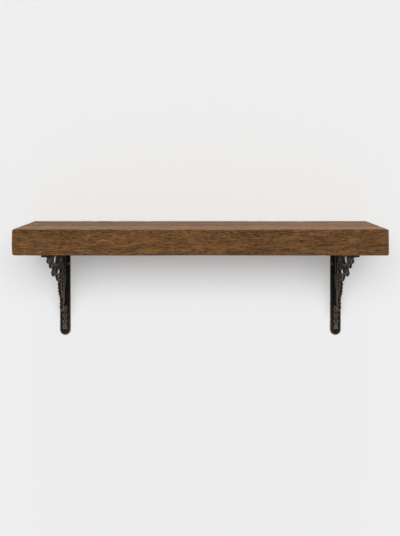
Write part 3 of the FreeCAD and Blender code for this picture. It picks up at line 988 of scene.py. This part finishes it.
plank = plank_mesh()
ease_edges(plank)
weather(plank)
plank.shade_smooth()
plank.materials.append(timber_material())
board = new_piece("timber_plank", plank)
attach(board, "root")
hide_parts("shelf_board")

# Wall, light and camera: a white wall just behind the shelf's back, lit softly from in front and above,
# with a weaker light on the shelf's back, and a level camera at the photo's height.
WALL_Y = 0.001
WALL_HALF = 6.0
WALL_WHITE = (0.66, 0.66, 0.66, 1)
WALL_ROUGHNESS = 0.9
WALL_GLOW = 0.235
NEAR_WALL = 0.03
PAGE_GREY = (0.847, 0.847, 0.847, 1)
FLOOR_GLOW = 0.36
CEILING_GLOW = 0.08
GLOW_RISE = 0.2
KEY_HEIGHT = math.radians(22)
KEY_ASIDE = math.radians(17)
KEY_SPREAD = math.radians(34)
KEY_STRENGTH = 1.3
TOP_SPREAD = math.radians(26)
TOP_STRENGTH = 1.6
BACK_HEIGHT = math.radians(-28)
BACK_STRENGTH = 0.8
CAMERA_PLACE = (0.0, -1.7174, 0.1997)
LENS = 41.98
SHIFT_X = -0.0007
SHIFT_Y = -0.2015


def wall_material():
    """White wall, clear from behind and to light at close range, so the shelf's back isn't lost."""
    material = bpy.data.materials.new("white_wall")
    material.use_nodes = True
    tree = material.node_tree
    shader = tree.nodes["Principled BSDF"]
    shader.inputs["Base Color"].default_value = WALL_WHITE
    shader.inputs["Roughness"].default_value = WALL_ROUGHNESS
    shader.inputs["Specular IOR Level"].default_value = 0.0
    shader.inputs["Emission Color"].default_value = (1, 1, 1, 1)
    shader.inputs["Emission Strength"].default_value = WALL_GLOW
    path = tree.nodes.new("ShaderNodeLightPath").outputs
    near = maths(tree, "LESS_THAN", path["Ray Length"], NEAR_WALL)
    unseen = maths(tree, "SUBTRACT", 1.0, path["Is Camera Ray"])
    behind = tree.nodes.new("ShaderNodeNewGeometry").outputs["Backfacing"]
    clear = maths(tree, "MAXIMUM", maths(tree, "MULTIPLY", near, unseen), behind)
    glass = tree.nodes.new("ShaderNodeBsdfTransparent")
    choice = node_link(tree, "ShaderNodeMixShader", {0: clear, 1: shader.outputs[0], 2: glass.outputs[0]})
    tree.links.new(choice.outputs[0], tree.nodes["Material Output"].inputs["Surface"])
    return material


wall_mesh = bpy.data.meshes.new("wall")
wall_mesh.from_pydata(
    [(-WALL_HALF, WALL_Y, -WALL_HALF), (WALL_HALF, WALL_Y, -WALL_HALF),
     (WALL_HALF, WALL_Y, WALL_HALF), (-WALL_HALF, WALL_Y, WALL_HALF)], [], [(0, 1, 2, 3)])
wall_mesh.materials.append(wall_material())
new_piece("white_wall", wall_mesh)


def sun(name, height, aside, spread, strength):
    """A broad even light from far off, at a height above the horizon and turned aside from the front."""
    light = bpy.data.lights.new(name, "SUN")
    light.angle = spread
    light.energy = strength
    lamp = bpy.data.objects.new(name, light)
    lamp.rotation_euler = (math.pi / 2 - height, 0, aside)
    bpy.context.scene.collection.objects.link(lamp)


sun("soft_key_left", KEY_HEIGHT, -KEY_ASIDE, KEY_SPREAD, KEY_STRENGTH)
sun("soft_key_right", KEY_HEIGHT, KEY_ASIDE, KEY_SPREAD, KEY_STRENGTH)
sun("soft_top", math.pi / 2, 0, TOP_SPREAD, TOP_STRENGTH)
sun("soft_back", BACK_HEIGHT, math.pi, KEY_SPREAD, BACK_STRENGTH)

room = bpy.data.worlds.new("studio")
room.use_nodes = True
bpy.context.scene.world = room
sky = room.node_tree
page = sky.nodes["Background"]
page.inputs["Color"].default_value = PAGE_GREY
view_ray = sky.nodes.new("ShaderNodeTexCoord").outputs["Generated"]
glow = ranged(sky, parts_of(sky, view_ray)["Z"], 0.0, GLOW_RISE, FLOOR_GLOW, CEILING_GLOW)
dome = node_link(sky, "ShaderNodeBackground", {"Strength": glow})
path = sky.nodes.new("ShaderNodeLightPath").outputs
seen = maths(sky, "MAXIMUM", path["Is Camera Ray"], path["Is Glossy Ray"])
seen = maths(sky, "MAXIMUM", seen, path["Is Transmission Ray"])
chosen = node_link(sky, "ShaderNodeMixShader", {0: seen, 1: dome.outputs[0], 2: page.outputs[0]})
sky.links.new(chosen.outputs[0], sky.nodes["World Output"].inputs["Surface"])

lens = bpy.data.cameras.new("camera")
lens.lens = LENS
lens.shift_x = SHIFT_X
lens.shift_y = SHIFT_Y
camera = bpy.data.objects.new("camera", lens)
camera.location = CAMERA_PLACE
camera.rotation_euler = (math.pi / 2, 0, 0)
bpy.context.scene.collection.objects.link(camera)
bpy.context.scene.camera = camera
bpy.context.scene.view_settings.view_transform = "Standard"
